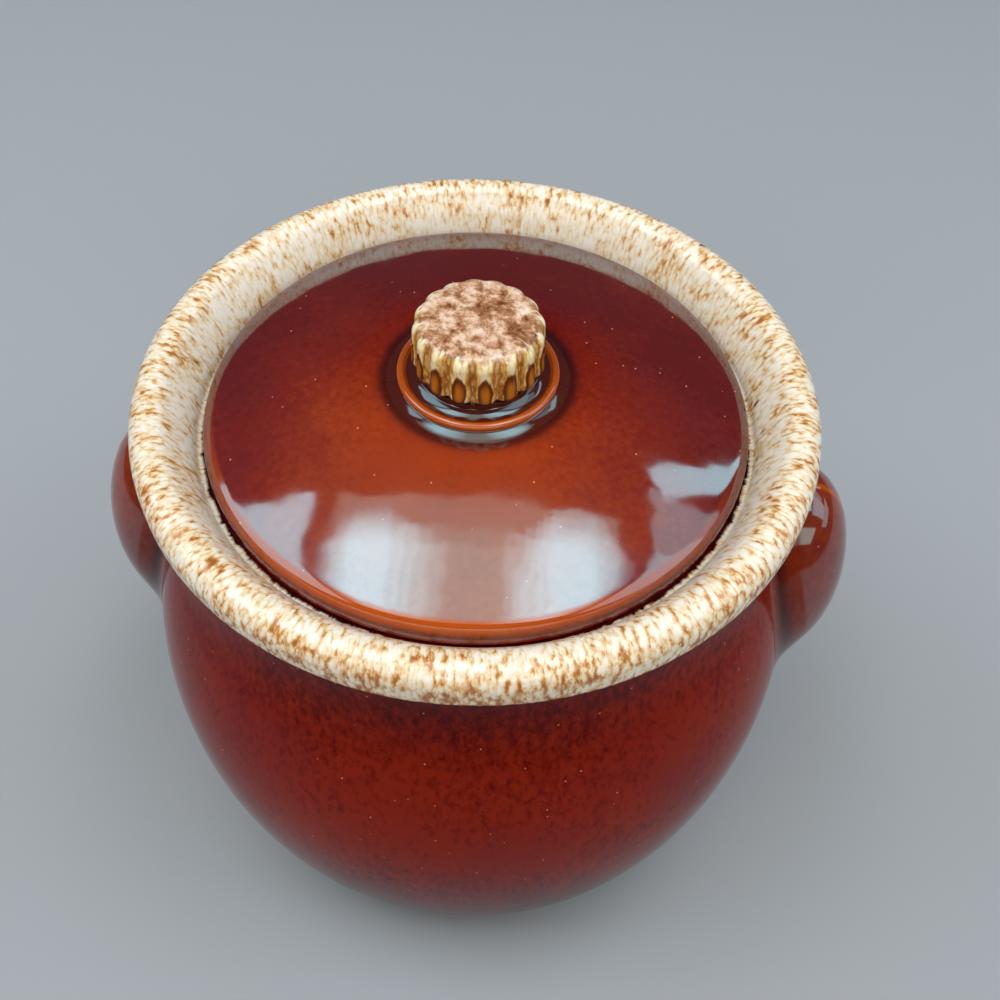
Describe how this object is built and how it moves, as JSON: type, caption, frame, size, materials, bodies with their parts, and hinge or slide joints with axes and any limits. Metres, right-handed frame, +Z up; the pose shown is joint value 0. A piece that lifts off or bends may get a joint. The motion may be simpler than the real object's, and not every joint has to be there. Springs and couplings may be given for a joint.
{
  "type": "bean pot",
  "caption": "Round-bellied glazed stoneware pot with a rolled rim, two lug handles and a lift-off domed lid with a fluted knob, for slow baking and serving beans.",
  "frame": {"origin": "middle of the foot ring, on the surface the pot stands on", "axes": "+Z up along the pot's axis, +X through one lug handle, +Y square to both"},
  "size_m": [0.2046, 0.1814, 0.1745],
  "materials": {
    "brown_glaze": "high gloss red-brown glaze",
    "ivory_glaze": "gloss ivory glaze with brown mottling",
    "bare_stoneware": "matte unglazed clay"
  },
  "bodies": {
    "pot": {"pot_body": "brown_glaze", "foot_ring": "bare_stoneware", "rolled_rim": "ivory_glaze", "lug_handle_right": "brown_glaze", "lug_handle_left": "brown_glaze"},
    "lid": {"lid_shell": "brown_glaze", "lid_flange": "bare_stoneware", "knob_collar": "brown_glaze", "knob": "ivory_glaze"}
  },
  "joints": [
    {"name": "lid_lift", "type": "slide", "parent": "pot", "child": "lid", "axis": [0, 0, 1], "range_m": [0, 0.09]}
  ]
}
